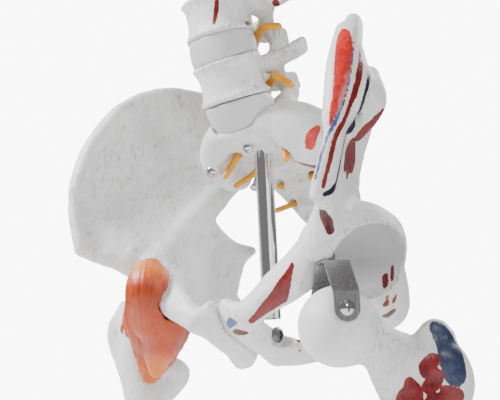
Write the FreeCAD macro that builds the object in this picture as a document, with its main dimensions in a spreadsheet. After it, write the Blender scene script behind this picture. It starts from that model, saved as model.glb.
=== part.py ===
"""Lumbosacral, pelvic and hip section of a life-size human skeleton model.

The frame is +X to the skeleton's left, +Y to its back and +Z up, with the origin at the centre of the
lower mouth of the chromed socket tube, which slips over the pole that carries the model.
"""
import FreeCAD, Part
import Sketcher
import math
import os
from FreeCAD import Placement, Rotation, Vector

os.makedirs("parts", exist_ok=True)
doc = FreeCAD.newDocument("SkeletonSection")

# ---------------------------------------------------------------- driving dimensions
sheet = doc.addObject("Spreadsheet::Sheet", "Dimensions")
DIMENSIONS = [
    ("head_radius", 23.0), ("socket_radius", 24.5), ("socket_wall", 5.5),
    ("tube_radius", 6.0), ("tube_bore_radius", 4.5), ("tube_length", 127.0),
    ("strap_width", 15.0), ("strap_thickness", 1.2), ("strap_reach", 27.0),
    ("axle_radius", 2.5), ("axle_clearance", 0.08), ("screw_head_radius", 4.3),
    ("screw_head_height", 2.6), ("screw_shank_radius", 2.2),
    ("body_half_width", 26.0), ("body_half_depth", 17.5), ("body_height", 27.0),
    ("cord_radius", 5.0), ("nerve_radius", 2.1), ("bone_gap", 0.4),
]
for row, (alias, value) in enumerate(DIMENSIONS, start=1):
    sheet.set(f"A{row}", alias)
    sheet.set(f"B{row}", str(value))
    sheet.setAlias(f"B{row}", alias)
doc.recompute()


def size(alias):
    """A driving dimension, in millimetres."""
    return float(sheet.get(alias))


NODES = []


def keep(obj, label):
    """Names a finished sub-part."""
    obj.Label = label
    NODES.append(obj)
    return obj


def feature(label, shape):
    """A sub-part whose shape is set directly, with the identity placement."""
    obj = doc.addObject("Part::Feature", label)
    obj.Shape = shape
    return keep(obj, label)


def turned(direction, start=(0, 0, 0)):
    """The placement that carries +Z onto a direction and the origin to a start point."""
    return Placement(Vector(*start), Rotation(Vector(0, 0, 1), Vector(*direction)))


def mirrored(shape):
    """The same shape on the other side of the midline."""
    return shape.mirror(Vector(0, 0, 0), Vector(1, 0, 0))


def side_points(points, side):
    """Points given for the left side (+X), moved to the side asked for."""
    return [(side * p[0],) + tuple(p[1:]) for p in points]


# ---------------------------------------------------------------- shape helpers
def limb(stations, grow=0.0):
    """A run of round bone: each station is (x, y, z, radius), joined by cones."""
    solids = []
    for i, (x, y, z, r) in enumerate(stations):
        near = stations[i + 1] if i + 1 < len(stations) else stations[i - 1]
        way = Vector(*near[:3]) - Vector(x, y, z)
        solids.append(Part.makeSphere(r + grow, Vector(x, y, z), way))
    for a, b in zip(stations, stations[1:]):
        run = Vector(*b[:3]) - Vector(*a[:3])
        ra, rb = (a[3] + grow) * 0.985, (b[3] + grow) * 0.985
        if abs(ra - rb) < 0.05:
            solids.append(Part.makeCylinder(ra, run.Length, Vector(*a[:3]), run))
        else:
            solids.append(Part.makeCone(ra, rb, run.Length, Vector(*a[:3]), run))
    return solids


def joined(solids):
    """One solid from several that overlap."""
    whole = solids[0].multiFuse(solids[1:]) if len(solids) > 1 else solids[0]
    found = whole.Solids
    return found[0] if len(found) == 1 else Part.makeCompound(found)


def smooth_ring(points):
    """A closed smooth wire through points."""
    curve = Part.BSplineCurve()
    curve.interpolate([Vector(*p) for p in points], PeriodicFlag=True)
    return Part.Wire([curve.toShape()])


def ellipse_ring(centre, half_width, half_depth, lean):
    """A horizontal ellipse tipped forward by lean degrees, for a vertebral end plate."""
    ring = Part.Ellipse(Vector(0, 0, 0), half_width, half_depth).toShape()
    wire = Part.Wire([ring])
    wire.Placement = Placement(Vector(*centre), Rotation(Vector(1, 0, 0), lean))
    return wire


# ---------------------------------------------------------------- anatomy, left side, in millimetres
HIP_CENTRE = Vector(86.5, -13.5, 33.5)
SOCKET_OUT = Vector(0.69, -0.22, -0.69).normalize()

# Each rib of the iliac wing runs from its root to the crest: root, middle, crest, then the half
# thickness at the three.
WING_RIBS = [
    ((91, -45, 44), (106, -62, 52), (117, -71, 57), 9.0, 7.0, 6.5),
    ((88, -36, 52), (112, -56, 72), (128, -69, 88), 10.0, 4.5, 6.0),
    ((84, -22, 62), (112, -40, 94), (134, -56, 125), 10.5, 3.8, 8.0),
    ((76, -8, 72), (102, -22, 112), (130, -36, 150), 9.0, 3.6, 6.5),
    ((68, 6, 84), (88, -6, 128), (106, -22, 170), 8.5, 3.8, 5.5),
    ((60, 18, 96), (76, 10, 134), (88, 2, 174), 8.5, 6.0, 5.5),
    ((54, 32, 108), (60, 30, 138), (66, 26, 170), 9.0, 8.5, 6.5),
    ((50, 46, 124), (49, 47, 142), (48, 46, 158), 8.0, 8.0, 6.5),
]

ISCHIUM = [(84, 6, 22, 17), (76, 24, 12, 15), (67, 38, 6, 13), (63, 41, 4, 11)]
INFERIOR_RAMUS = [(63, 40, 2, 9), (50, 20, -13, 6.5), (34, -4, -22, 6), (20, -18, -23, 7), (11, -27, -21, 7.5)]
PUBIC_BODY = [(12, -19, -16, 8.5), (11, -32, -13, 9.0), (10.5, -38, -4, 9.0), (12, -42, 4, 8.5)]
SUPERIOR_RAMUS = [(78, -30, 34, 13), (58, -38, 25, 9), (38, -43, 13, 6.8), (20, -44, 3, 6.5), (12, -42, 4, 8.0)]
ISCHIAL_SPINE = [(66, 20, 44, 10), (58, 32, 52, 6), (52, 39, 57, 3)]
GREATER_NOTCH = [(70, 8, 58, 15), (66, 4, 74, 12), (62, 8, 88, 11), (56, 18, 104, 11), (51, 34, 118, 10)]
LOWER_SPINE = [(90, -40, 44, 9), (90, -45, 46, 7)]
SWIVEL_BOSS = [(90, -44, 44, 8), (88, -38, 36, 8.5)]
RIM_FLOOR = [(74, 0, 40, 20), (76, -3, 39, 19)]


def skinned(rings):
    """A solid skinned with flat triangles over a run of closed rings of equal point count."""
    faces = []
    count = len(rings[0])

    def triangle(a, b, c):
        faces.append(Part.Face(Part.makePolygon([a, b, c, a])))

    for low, high in zip(rings, rings[1:]):
        for i in range(count):
            j = (i + 1) % count
            triangle(low[i], low[j], high[j])
            triangle(low[i], high[j], high[i])
    for ring in (rings[0], rings[-1]):
        centre = sum(ring, Vector()) * (1 / count)
        for i in range(count):
            triangle(centre, ring[i], ring[(i + 1) % count])
    shell = Part.makeShell(faces)
    shell.sewShape()
    solid = Part.makeSolid(shell)
    if solid.Volume < 0:
        solid.reverse()
    return solid


def wing_section(root, middle, crest, root_t, middle_t, crest_t, across):
    """The closed outline of one rib of the iliac wing, across the wing's own plane."""
    out = across.normalize()
    tip = crest + (crest - middle).normalize() * crest_t * 0.7
    heel = root - (middle - root).normalize() * root_t * 0.7
    return [
        heel, root + out * root_t, (root + middle) * 0.5 + out * (root_t + middle_t) * 0.46,
        middle + out * middle_t, crest + out * crest_t, tip, crest - out * crest_t,
        middle - out * middle_t, (root + middle) * 0.5 - out * (root_t + middle_t) * 0.46,
        root - out * root_t,
    ]


def between(ribs, place):
    """A rib's three points and thicknesses part of the way along the run, on a smooth curve."""
    i = min(int(place), len(ribs) - 2)
    f = place - i
    picks = [ribs[max(i - 1, 0)], ribs[i], ribs[i + 1], ribs[min(i + 2, len(ribs) - 1)]]
    weights = [
        0.5 * (-f + 2 * f * f - f ** 3), 0.5 * (2 - 5 * f * f + 3 * f ** 3),
        0.5 * (f + 4 * f * f - 3 * f ** 3), 0.5 * (-f * f + f ** 3),
    ]
    points = []
    for k in range(3):
        points.append(sum((Vector(*p[k]) * w for p, w in zip(picks, weights)), Vector()))
    sizes = [sum(p[k] * w for p, w in zip(picks, weights)) for k in range(3, 6)]
    return points + sizes


def iliac_wing():
    """The thin curved blade of the ilium, skinned over its ribs."""
    last = len(WING_RIBS) - 1
    steps = [between(WING_RIBS, last * k / 18) for k in range(19)]
    rings = []
    for i, (root, middle, crest, rt, mt, ct) in enumerate(steps):
        along = steps[min(i + 1, 18)][1] - steps[max(i - 1, 0)][1]
        rings.append(wing_section(root, middle, crest, rt, mt, ct, (crest - root).cross(along)))
    return skinned(rings)


def hip_bone():
    """Ilium, ischium and pubis of the left side, moulded in one, with the open socket."""
    solids = [iliac_wing()]
    for run in (ISCHIUM, INFERIOR_RAMUS, PUBIC_BODY, SUPERIOR_RAMUS, ISCHIAL_SPINE, GREATER_NOTCH,
                LOWER_SPINE, RIM_FLOOR):
        solids += limb(run)
    solids.append(Part.makeSphere(size("socket_radius") + size("socket_wall"), HIP_CENTRE))
    bone = joined(solids)
    room = size("socket_radius") + size("socket_wall") + 1.5
    bone = bone.cut(Part.makeCylinder(room, 40, HIP_CENTRE + SOCKET_OUT * 7, SOCKET_OUT))
    bone = bone.fuse(joined(limb(SWIVEL_BOSS)))
    bone = bone.cut(Part.makeSphere(size("socket_radius"), HIP_CENTRE))
    bone = bone.cut(Part.makeBox(60, 400, 400, Vector(-57.5, -200, -200)))
    return max(bone.Solids, key=lambda s: s.Volume)


# Anterior midline of the sacrum from promontory to apex: y, z, the direction of its thickness (y, z),
# half width and thickness there.
SACRUM_LEVELS = [
    (-27, 121, 0.72, 0.69, 34, 33),
    (-10, 115, 0.47, 0.88, 57, 36),
    (9, 109, 0.40, 0.92, 53, 31),
    (26, 100, 0.55, 0.83, 37, 24),
    (38, 86, 0.78, 0.62, 27, 17),
    (45, 70, 0.95, 0.30, 14, 10),
]


def sacrum_blank():
    """The fused sacral wedge with its wings, lofted down its curve."""
    wires = []
    for y, z, ny, nz, half, deep in SACRUM_LEVELS:
        n = Vector(0, ny, nz).normalize()
        front = Vector(0, y, z)
        outline = []
        for share, back in ((0, 0.02), (0.55, -0.03), (0.97, 0.22), (0.9, 0.62), (0.45, 0.9), (0, 1.0)):
            outline.append((share * half, back * deep))
        ring = outline + [(-a, b) for a, b in reversed(outline[1:-1])]
        wires.append(smooth_ring([front + Vector(a, 0, 0) + n * b for a, b in ring]))
    return Part.makeLoft(wires, True, False)


FORAMINA = [(22, -2, 114, 4.2), (18.5, 12, 107, 3.8), (16, 32, 95, 3.4), (14, 41, 81, 3.0)]


def nerve(start, way, length, radius):
    """A short stub of nerve root with a rounded end."""
    start, way = Vector(*start), Vector(*way).normalize()
    stub = Part.makeCylinder(radius, length, start, way)
    return stub.fuse(Part.makeSphere(radius, start + way * length)).removeSplitter()


SACRAL_NERVE_WAYS = [(0.25, -0.45, -0.86), (0.45, -0.62, -0.64), (0.55, -0.70, -0.45), (0.5, -0.80, -0.35)]


def sacral_nerves(side):
    """The four stubs that leave the sacrum's front on one side."""
    stubs = []
    for (x, y, z, r), way in zip(FORAMINA, SACRAL_NERVE_WAYS):
        w = Vector(side * way[0], way[1], way[2]).normalize()
        start = Vector(side * x, y, z) - w * 4
        stubs.append(nerve(start, w, 15, size("nerve_radius") * (1.0 if z > 100 else 0.85)))
    return stubs


# ---------------------------------------------------------------- vertebrae
# Centre of the body (y, z), its forward lean in degrees, and the scale of its width.
VERTEBRAE = {"lumbar_5": (-27.5, 156.5, 18.0, 1.0), "lumbar_4": (-37.0, 197.5, 8.0, 0.99)}


def oval(z, half_width, half_depth):
    """Forty points round a level oval."""
    turns = [k * math.pi / 20 for k in range(40)]
    return [Vector(half_width * math.cos(t), half_depth * math.sin(t), z) for t in turns]


def vertebra(scale):
    """A lumbar vertebra about the centre of its body, with +Z along the spine."""
    w, d, h = size("body_half_width") * scale, size("body_half_depth"), size("body_height")
    plates = [(-h / 2, 0.99), (-h / 2 + 3, 1.0), (-h / 5, 0.92), (0, 0.9), (h / 5, 0.92), (h / 2 - 3, 0.99),
              (h / 2, 0.98)]
    body = skinned([oval(z, w * k, d * k) for z, k in plates])
    half = joined(
        limb([(15, 13, 5, 5.5), (16, 24, 4, 5.5), (11, 33, -2, 4.5), (1.5, 39, -4, 4.3)])
        + limb([(17, 21, 6, 5.0), (33, 24, 8, 4.0), (45, 24, 9, 4.2)])
        + limb([(18, 26, 4, 5.0), (19.5, 29, 13, 4.4), (19.5, 30, 17, 3.6)])
        + limb([(12, 33, -3, 4.6), (11, 37, -12, 4.2), (10.5, 38, -16, 3.6)]))
    whole = half.fuse(mirrored(half))
    whole = whole.fuse(joined(limb([(0, 40.3, -4.6, 6.4), (0, 53, -6.2, 3.7), (0, 62, -7.4, 4.2)])))
    whole = whole.fuse(joined(limb([(0, 43.1, -8.3, 4.4), (0, 54.2, -12.1, 3.1), (0, 61.3, -12.8, 3.7)])))
    whole = whole.fuse(body)
    canal = Part.makeCylinder(8.5, 80, Vector(0, 25.5, -40))
    cable = Part.makeCylinder(5.5, 80, Vector(0, 0, -40))
    return whole.cut(canal).cut(cable)


def spine_placement(name):
    """Where a vertebra of that name stands."""
    y, z, lean, _ = VERTEBRAE[name]
    return Placement(Vector(0, y, z), Rotation(Vector(1, 0, 0), lean))


def disc_between(low_centre, low_lean, high_centre, high_lean, scale):
    """A rubber disc that fills the wedge between two end plates, with a hair of room above."""
    w, d = size("body_half_width") * scale, size("body_half_depth") * scale
    low, high = Vector(*low_centre), Vector(*high_centre)
    middle = (low + high) * 0.5
    rings = [
        ellipse_ring(low, w * 0.985, d * 0.985, low_lean),
        ellipse_ring(middle, w * 1.03, d * 1.03, (low_lean + high_lean) / 2),
        ellipse_ring(high, w * 0.985, d * 0.985, high_lean),
    ]
    disc = Part.makeLoft(rings, True, False)
    way = high - low
    return disc.cut(Part.makeCylinder(5.5, way.Length * 4, low - way * 1.5, way))


def core_cable():
    """The flexible core that the discs and vertebrae are threaded on."""
    path = [Vector(0, -9, 126), Vector(0, -23.2, 142.9), Vector(0, -31.7, 169.5), Vector(0, -37, 206)]
    runs = [Part.makeCylinder(1.6, (b - a).Length, a, b - a) for a, b in zip(path, path[1:])]
    return joined(runs + [Part.makeSphere(1.6, p) for p in path[1:]])


def lumbar_roots(name, grow=0.0):
    """The two nerve roots that leave under a vertebra, thicker by grow all round."""
    root = size("nerve_radius") * 1.2 + grow
    stub = joined(limb([(3, 25, -12.5, root), (20, 22, -12, root), (32, 10, -7.5, root)]))
    stub = placed(stub, spine_placement(name))
    return [stub, mirrored(stub)]


# ---------------------------------------------------------------- femurs and hip hardware
BRACKET_CENTRE = Vector(88, -38, -3)
AXLE_WAY = Vector(0.848, -0.53, 0).normalize()
LEFT_HEAD = Vector(88, -36, -11.5)
RIGHT_HEAD = Vector(-87.3, -12.8, 33)
FEMUR_LEFT = [
    [(96, -28, -17, 16), (104, -19, -25, 15.5), (111, -9, -36, 18), (113, -3, -48, 21), (111, -5, -66, 18.5),
     (109, -7, -90, 15.5), (106, -8, -150, 14)],
    [(111, -9, -36, 16), (124, 3, -27, 12.5), (127, 1, -17, 8.5)],
    [(124, 3, -27, 12.5), (127, 8, -40, 14.5), (113, -3, -58, 19)],
    [(111, -3, -62, 14), (103, 9, -66, 8)],
]
FEMUR_RIGHT = [
    [(-97, -11, 26, 14), (-105, -12.5, 15, 14), (-113, -14, 0, 16), (-118, -14, -16, 18.5), (-118, -12, -38, 16.5),
     (-117, -12, -65, 15), (-112, -12, -150, 14)],
    [(-113, -14, 0, 15), (-129, -17, 6, 11.5), (-131, -14, 15, 8)],
    [(-129, -17, 6, 11.5), (-130, -16, -10, 11.5), (-118, -13, -26, 16)],
    [(-116, -9, -30, 12), (-102, 3, -31, 8)],
]


def femur(head, runs, grow=0.0):
    """The upper third of a thigh bone, cut square below."""
    solids = [Part.makeSphere(size("head_radius") + grow, head)]
    for run in runs:
        solids += limb(run, grow)
    bone = joined(solids)
    bone = bone.cut(Part.makeBox(400, 400, 100, Vector(-200, -200, -245)))
    return max(bone.Solids, key=lambda s: s.Volume)


def strap():
    """The bent steel strap that carries the left thigh bone, open below."""
    t, reach = size("strap_thickness"), size("strap_reach")
    span, top = 22.2, 8.0
    low = -size("strap_width") / 2
    inner = [(-span, low), (-span, 9), (-top, reach), (top, reach), (span, 9), (span, low)]
    outer = [(span + t, low), (span + t, 9.5), (top + t * 0.7, reach + t), (-top - t * 0.7, reach + t),
             (-span - t, 9.5), (-span - t, low)]
    ring = [Vector(a, -size("strap_width") / 2, b) for a, b in inner + outer]
    blade = Part.Face(Part.makePolygon(ring + ring[:1])).extrude(Vector(0, size("strap_width"), 0))
    radius = size("strap_width") / 2
    rounding = Part.makeCylinder(radius, 2 * span + 10, Vector(-span - 5, 0, 0), Vector(1, 0, 0))
    above = Part.makeBox(2 * span + 10, 2 * radius, 60, Vector(-span - 5, -radius, 0))
    blade = blade.common(rounding.fuse(above))
    hole = Part.makeCylinder(size("axle_radius") + size("axle_clearance"), 80, Vector(-40, 0, 0), Vector(1, 0, 0))
    stem = Part.makeCylinder(size("screw_shank_radius") + size("axle_clearance"), 20, Vector(0, 0, reach - 8))
    blade = blade.cut(hole).cut(stem)
    blade.Placement = bracket_placement()
    return blade


def bracket_placement():
    """The strap's own frame: +X along the axle, +Z up the swivel bolt."""
    across = Vector(0, 0, 1).cross(AXLE_WAY)
    turn = FreeCAD.Matrix(AXLE_WAY.x, across.x, 0, BRACKET_CENTRE.x, AXLE_WAY.y, across.y, 0, BRACKET_CENTRE.y,
                          AXLE_WAY.z, across.z, 1, BRACKET_CENTRE.z, 0, 0, 0, 1)
    return Placement(turn)


def pan_screw(length, head=1.0, recess=True):
    """A cross-recess pan-head screw along +Z: the shank below the origin, the head above it."""
    r, h = size("screw_head_radius") * head, size("screw_head_height") * head
    dome = Part.makeSphere(r * 1.25, Vector(0, 0, h - r * 1.25))
    cap = Part.makeCylinder(r, h, Vector(0, 0, 0)).common(dome)
    shank = Part.makeCylinder(size("screw_shank_radius"), length, Vector(0, 0, -length))
    screw = cap.fuse(shank).removeSplitter()
    if recess:
        slot = Part.makeBox(r * 1.1, r * 0.26, h, Vector(-r * 0.55, -r * 0.13, h * 0.45))
        other = Part.makeBox(r * 0.26, r * 1.1, h, Vector(-r * 0.13, -r * 0.55, h * 0.45))
        screw = screw.cut(slot.fuse(other))
    return screw


def placed(shape, placement):
    """The shape moved to a placement, as a plain shape."""
    moved = shape.copy()
    moved.Placement = placement.multiply(moved.Placement)
    return moved


# ---------------------------------------------------------------- hardware
def tube_body():
    """The chromed socket tube: a revolved wall with a chamfered mouth, bound to the sheet."""
    body = doc.addObject("PartDesign::Body", "SocketTube")
    plane = [f for f in body.Origin.OriginFeatures if f.Role == "XY_Plane"][0]
    sketch = body.newObject("Sketcher::SketchObject", "TubeRing")
    sketch.AttachmentSupport = [(plane, "")]
    sketch.MapMode = "FlatFace"
    sketch.addGeometry(Part.Circle(Vector(0, 0, 0), Vector(0, 0, 1), size("tube_radius")), False)
    sketch.addGeometry(Part.Circle(Vector(0, 0, 0), Vector(0, 0, 1), size("tube_bore_radius")), False)
    for index, alias in ((0, "tube_radius"), (1, "tube_bore_radius")):
        sketch.addConstraint(Sketcher.Constraint("Coincident", index, 3, -1, 1))
        made = sketch.addConstraint(Sketcher.Constraint("Radius", index, size(alias)))
        sketch.setExpression(f"Constraints[{made}]", f"Dimensions.{alias}")
    pad = body.newObject("PartDesign::Pad", "TubeWall")
    pad.Profile = sketch
    pad.setExpression("Length", "Dimensions.tube_length")
    doc.recompute()
    return keep(body, "stand_socket_tube")


tube = tube_body()
plug = Part.makeCylinder(size("tube_radius"), size("tube_length"), Vector(0, 0, 0))

SET_SCREW = placed(pan_screw(9, 0.9), turned((0, -0.74, -0.67), (0, -14.6, 112.2)))
SACROILIAC = {
    "upper": placed(pan_screw(34), turned((-0.35, -0.80, -0.48), (39, -11.5, 103.5))),
    "lower": placed(pan_screw(26, 0.75), turned((-0.30, -0.62, -0.72), (33, 22.5, 95.5))),
}

left_hip = hip_bone()
sacrum = sacrum_blank()
for s in (-1, 1):
    for run in ([(s * 24, 0, 141, 9), (s * 22, 8, 150, 6), (s * 21, 9, 156, 4.2)],
                [(s * 30, -8, 122, 12), (s * 44, -6, 120, 11)],
                [(s * 33, -4, 115, 10), (s * 40, 3, 107, 10)]):
        sacrum = joined([sacrum] + limb(run))
crest = []
for y, z in ((26, 138), (42, 118), (52, 96)):
    crest.append((0, y, z, 6))
sacrum = joined([sacrum] + limb(crest))
right_hip = mirrored(left_hip)
sacrum = sacrum.cut(left_hip).cut(right_hip).cut(plug)
top_plane = Part.makeBox(70, 49, 40, Vector(-35, -30, 0))
top_plane.Placement = Placement(Vector(0, -15, 133), Rotation(Vector(1, 0, 0), 43.8))
sacrum = sacrum.cut(top_plane)
for s in (-1, 1):
    for (x, y, z, r), way in zip(FORAMINA, SACRAL_NERVE_WAYS):
        w = Vector(s * way[0], way[1], way[2]).normalize()
        sacrum = sacrum.cut(Part.makeCylinder(r, 13, Vector(s * x, y, z) - w * 8, w))
cord_path = [Vector(0, 16, 130), Vector(0, 1, 150), Vector(0, -3.5, 165), Vector(0, -11, 200), Vector(0, -13, 217)]
canal_way = cord_path[1] - cord_path[0]
sacrum = sacrum.cut(Part.makeCylinder(size("cord_radius") + 0.5, 60, cord_path[0] - canal_way * 0.25, canal_way))
nerves = {s: sacral_nerves(s) for s in (-1, 1)}
for s in (-1, 1):
    for stub in nerves[s]:
        sacrum = sacrum.cut(stub)
cable = core_cable()
sacrum = sacrum.cut(cable)
for lean in (-5, -3, 0):
    back = Placement(Vector(), Rotation(Vector(1, 0, 0), lean), Vector(0, -19, 138))
    for root in lumbar_roots("lumbar_5", 0.7):
        sacrum = sacrum.cut(placed(root, back))
sacrum = max(sacrum.Solids, key=lambda s: s.Volume)
sacrum = sacrum.cut(SET_SCREW)
left_hip = left_hip.cut(SACROILIAC["lower"])
right_hip = mirrored(left_hip).cut(mirrored(SACROILIAC["upper"]))
for screw in (SACROILIAC["lower"], mirrored(SACROILIAC["lower"]), mirrored(SACROILIAC["upper"])):
    sacrum = sacrum.cut(screw)
SYMPHYSIS_SCREW = placed(pan_screw(38, 1.15), turned((1, 0, 0), (21.5, -17.5, -11.5)))
swivel_foot = BRACKET_CENTRE + Vector(0, 0, size("strap_reach") - 0.1)
swivel_bolt = placed(pan_screw(22, 0.85, False), turned((0, 0, -1), tuple(swivel_foot)))
strap_top = size("strap_reach") + size("strap_thickness") + 0.8
strap_room = Part.makeCone(27, 12, strap_top - 8, BRACKET_CENTRE + Vector(0, 0, 8))
left_hip = left_hip.cut(strap_room).cut(swivel_bolt).cut(SYMPHYSIS_SCREW)
left_hip = max(left_hip.Solids, key=lambda s: s.Volume)
right_hip = right_hip.cut(SYMPHYSIS_SCREW)
symphysis = joined(limb([(0, -19, -16, 9), (0, -32, -13, 9.5), (0, -38, -4, 9.5), (0, -42, 3, 8.5)]))
symphysis = symphysis.common(Part.makeBox(5.0, 200, 200, Vector(-2.5, -150, -100))).cut(SYMPHYSIS_SCREW)

feature("hip_bone_left", left_hip)
feature("hip_bone_right", right_hip)
feature("sacrum", sacrum)
coccyx = joined(limb([(0, 49, 66, 5.5), (0, 46, 58, 4.8), (0, 38, 53, 4.0), (0, 30, 53.5, 3.0)])).cut(sacrum)
feature("coccyx", max(coccyx.Solids, key=lambda s: s.Volume))
feature("pubic_symphysis", symphysis)
feature("symphysis_screw", SYMPHYSIS_SCREW)
feature("socket_set_screw", SET_SCREW)
feature("sacroiliac_screw_upper_right", mirrored(SACROILIAC["upper"]))
feature("sacroiliac_screw_lower_left", SACROILIAC["lower"])
feature("sacroiliac_screw_lower_right", mirrored(SACROILIAC["lower"]))
feature("sacral_nerves_left", Part.makeCompound(nerves[1]))
feature("sacral_nerves_right", Part.makeCompound(nerves[-1]))
feature("hip_swivel_bolt_left", swivel_bolt)

# ---------------------------------------------------------------- spine
feature("lumbosacral_disc", disc_between((0, -15, 133), 43.8, (0, -23.2, 142.9), 18, 1.0))
for name, (y, z, lean, scale) in VERTEBRAE.items():
    shape = vertebra(scale)
    shape.Placement = spine_placement(name)
    feature(f"{name}_vertebra", shape)
feature("disc_lumbar_4_5", disc_between((0, -31.75, 169.6), 18, (0, -35.1, 183.9), 8, 0.99))
cord = []
for a, b in zip(cord_path, cord_path[1:]):
    cord.append(Part.makeCylinder(size("cord_radius"), (b - a).Length, a, b - a))
cord += [Part.makeSphere(size("cord_radius"), p) for p in cord_path]
cord = joined(cord)
for name in VERTEBRAE:
    stub = lumbar_roots(name)[0].cut(cord)
    stub = max(stub.Solids, key=lambda solid: solid.Volume)
    feature(f"{name}_nerves", Part.makeCompound([stub, mirrored(stub)]))
feature("spinal_cord", cord)
feature("spine_core_cable", cable)

# ---------------------------------------------------------------- left hip, hanging from its strap
feature("hip_strap_left", strap())
frame = bracket_placement()
axle = Part.makeCylinder(size("axle_radius"), 2 * (22.2 + size("strap_thickness")) + 6.4,
                         Vector(-(22.2 + size("strap_thickness")) - 6.2, 0, 0), Vector(1, 0, 0))
flat_room = Part.makeBox(30, 80, 80, Vector(21.9, -40, -40)).fuse(Part.makeBox(30, 80, 80, Vector(-51.9, -40, -40)))
flat_room = placed(flat_room, frame).common(Part.makeSphere(size("head_radius") + 3, LEFT_HEAD))
keep_neck = Part.makeSphere(13, Vector(106, -20, -28))
axle_room = Part.makeCylinder(size("axle_radius") + size("axle_clearance"), 90, Vector(-45, 0, 0), Vector(1, 0, 0))
femur_left = femur(LEFT_HEAD, FEMUR_LEFT).cut(flat_room.cut(keep_neck)).cut(placed(axle_room, frame))
femur_left = max(femur_left.Solids, key=lambda s: s.Volume)
feature("femur_left", femur_left)
head = placed(pan_screw(3, 1.0), Placement(Vector(22.25 + size("strap_thickness") + 0.05, 0, 0),
                                          Rotation(Vector(0, 0, 1), Vector(1, 0, 0))))
axle_screw = placed(axle.fuse(head).removeSplitter(), frame)
feature("hip_axle_left", axle_screw)
nut = Part.Face(Part.makePolygon([Vector(4.6 * math.cos(k * math.pi / 3), 4.6 * math.sin(k * math.pi / 3), 0)
                                  for k in range(7)])).extrude(Vector(0, 0, 3.4))
nut = nut.cut(Part.makeCylinder(size("axle_radius"), 10, Vector(0, 0, -2)))
nut.Placement = Placement(Vector(-(22.2 + size("strap_thickness")) - 0.2, 0, 0),
                          Rotation(Vector(0, 0, 1), Vector(-1, 0, 0)))
feature("hip_axle_nut_left", placed(nut, frame))

# ---------------------------------------------------------------- right hip, held by its elastic ligaments
femur_right = femur(RIGHT_HEAD, FEMUR_RIGHT)
feature("femur_right", femur_right)
sleeve = joined(limb([(-95, -13, 30, 26), (-104, -14, 16, 24), (-113, -15, -2, 20), (-117, -15, -18, 19.6)])
                + limb([(-78, -33, 28, 11), (-75, -32, 10, 14), (-84, -28, -8, 13), (-92, -24, -22, 9)]))
grown = femur(RIGHT_HEAD, FEMUR_RIGHT, size("bone_gap"))
sleeve = sleeve.cut(grown).cut(right_hip)
sleeve = max(sleeve.Solids, key=lambda s: s.Volume)
feature("hip_ligament_right", sleeve)

# ---------------------------------------------------------------- checks and export
doc.recompute()
for obj in doc.Objects:
    if "Invalid" in obj.State or "Error" in obj.State:
        raise SystemExit(f"{obj.Label} failed: {obj.State}")
for obj in NODES:
    shape = obj.Shape
    if shape.isNull() or not shape.isValid() or shape.Volume <= 0:
        raise SystemExit(f"{obj.Label} has no valid solid")
    if not shape.Solids:
        raise SystemExit(f"{obj.Label} holds no solid")
    print(f"{obj.Label:28s} {len(shape.Solids)} solids {shape.Volume / 1000:9.2f} cm3")
    shape.exportStep(f"parts/{obj.Label}.step")
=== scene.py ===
import math
import bpy
import numpy as np
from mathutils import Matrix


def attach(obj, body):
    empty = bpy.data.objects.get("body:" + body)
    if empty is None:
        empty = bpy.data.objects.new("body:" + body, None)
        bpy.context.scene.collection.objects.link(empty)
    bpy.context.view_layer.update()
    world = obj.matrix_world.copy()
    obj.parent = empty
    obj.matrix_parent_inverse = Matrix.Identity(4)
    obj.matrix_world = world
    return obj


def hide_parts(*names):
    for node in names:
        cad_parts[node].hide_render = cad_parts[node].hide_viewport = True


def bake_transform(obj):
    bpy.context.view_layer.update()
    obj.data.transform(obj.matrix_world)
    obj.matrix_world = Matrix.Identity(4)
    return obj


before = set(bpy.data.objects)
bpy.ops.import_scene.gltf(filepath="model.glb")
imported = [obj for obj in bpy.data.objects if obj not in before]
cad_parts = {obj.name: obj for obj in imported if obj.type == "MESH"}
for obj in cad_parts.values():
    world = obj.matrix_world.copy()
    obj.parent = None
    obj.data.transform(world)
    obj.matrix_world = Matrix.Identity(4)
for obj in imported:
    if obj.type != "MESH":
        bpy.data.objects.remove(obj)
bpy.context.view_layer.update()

import openvdb
from mathutils import Matrix, Vector

# ---------------------------------------------------------------- hip bones
# The two hip bones are cast in hard off-white plastic with the grain of real bone. They are screwed to
# the sacrum behind and to each other at the pubis. Only the left one carries painted muscle areas.
VOXEL = 1.2
rng = np.random.default_rng(7)


def smooth_run(rows, gap):
    """Fills a run of stations with a smooth curve, no two further apart than gap."""
    rows = np.asarray(rows, float)
    if len(rows) < 2:
        return rows
    out = []
    for i in range(len(rows) - 1):
        p = rows[[max(i - 1, 0), i, i + 1, min(i + 2, len(rows) - 1)]]
        reach = np.linalg.norm((p[2] - p[1])[..., :3], axis=-1).max()
        steps = max(1, int(np.ceil(reach / gap)))
        for k in range(steps):
            f = k / steps
            weights = (0.5 * (-f + 2 * f * f - f**3), 0.5 * (2 - 5 * f * f + 3 * f**3),
                       0.5 * (f + 4 * f * f - 3 * f**3), 0.5 * (-f * f + f**3))
            out.append(sum(a * b for a, b in zip(weights, p)))
    out.append(rows[-1])
    return np.array(out)


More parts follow.
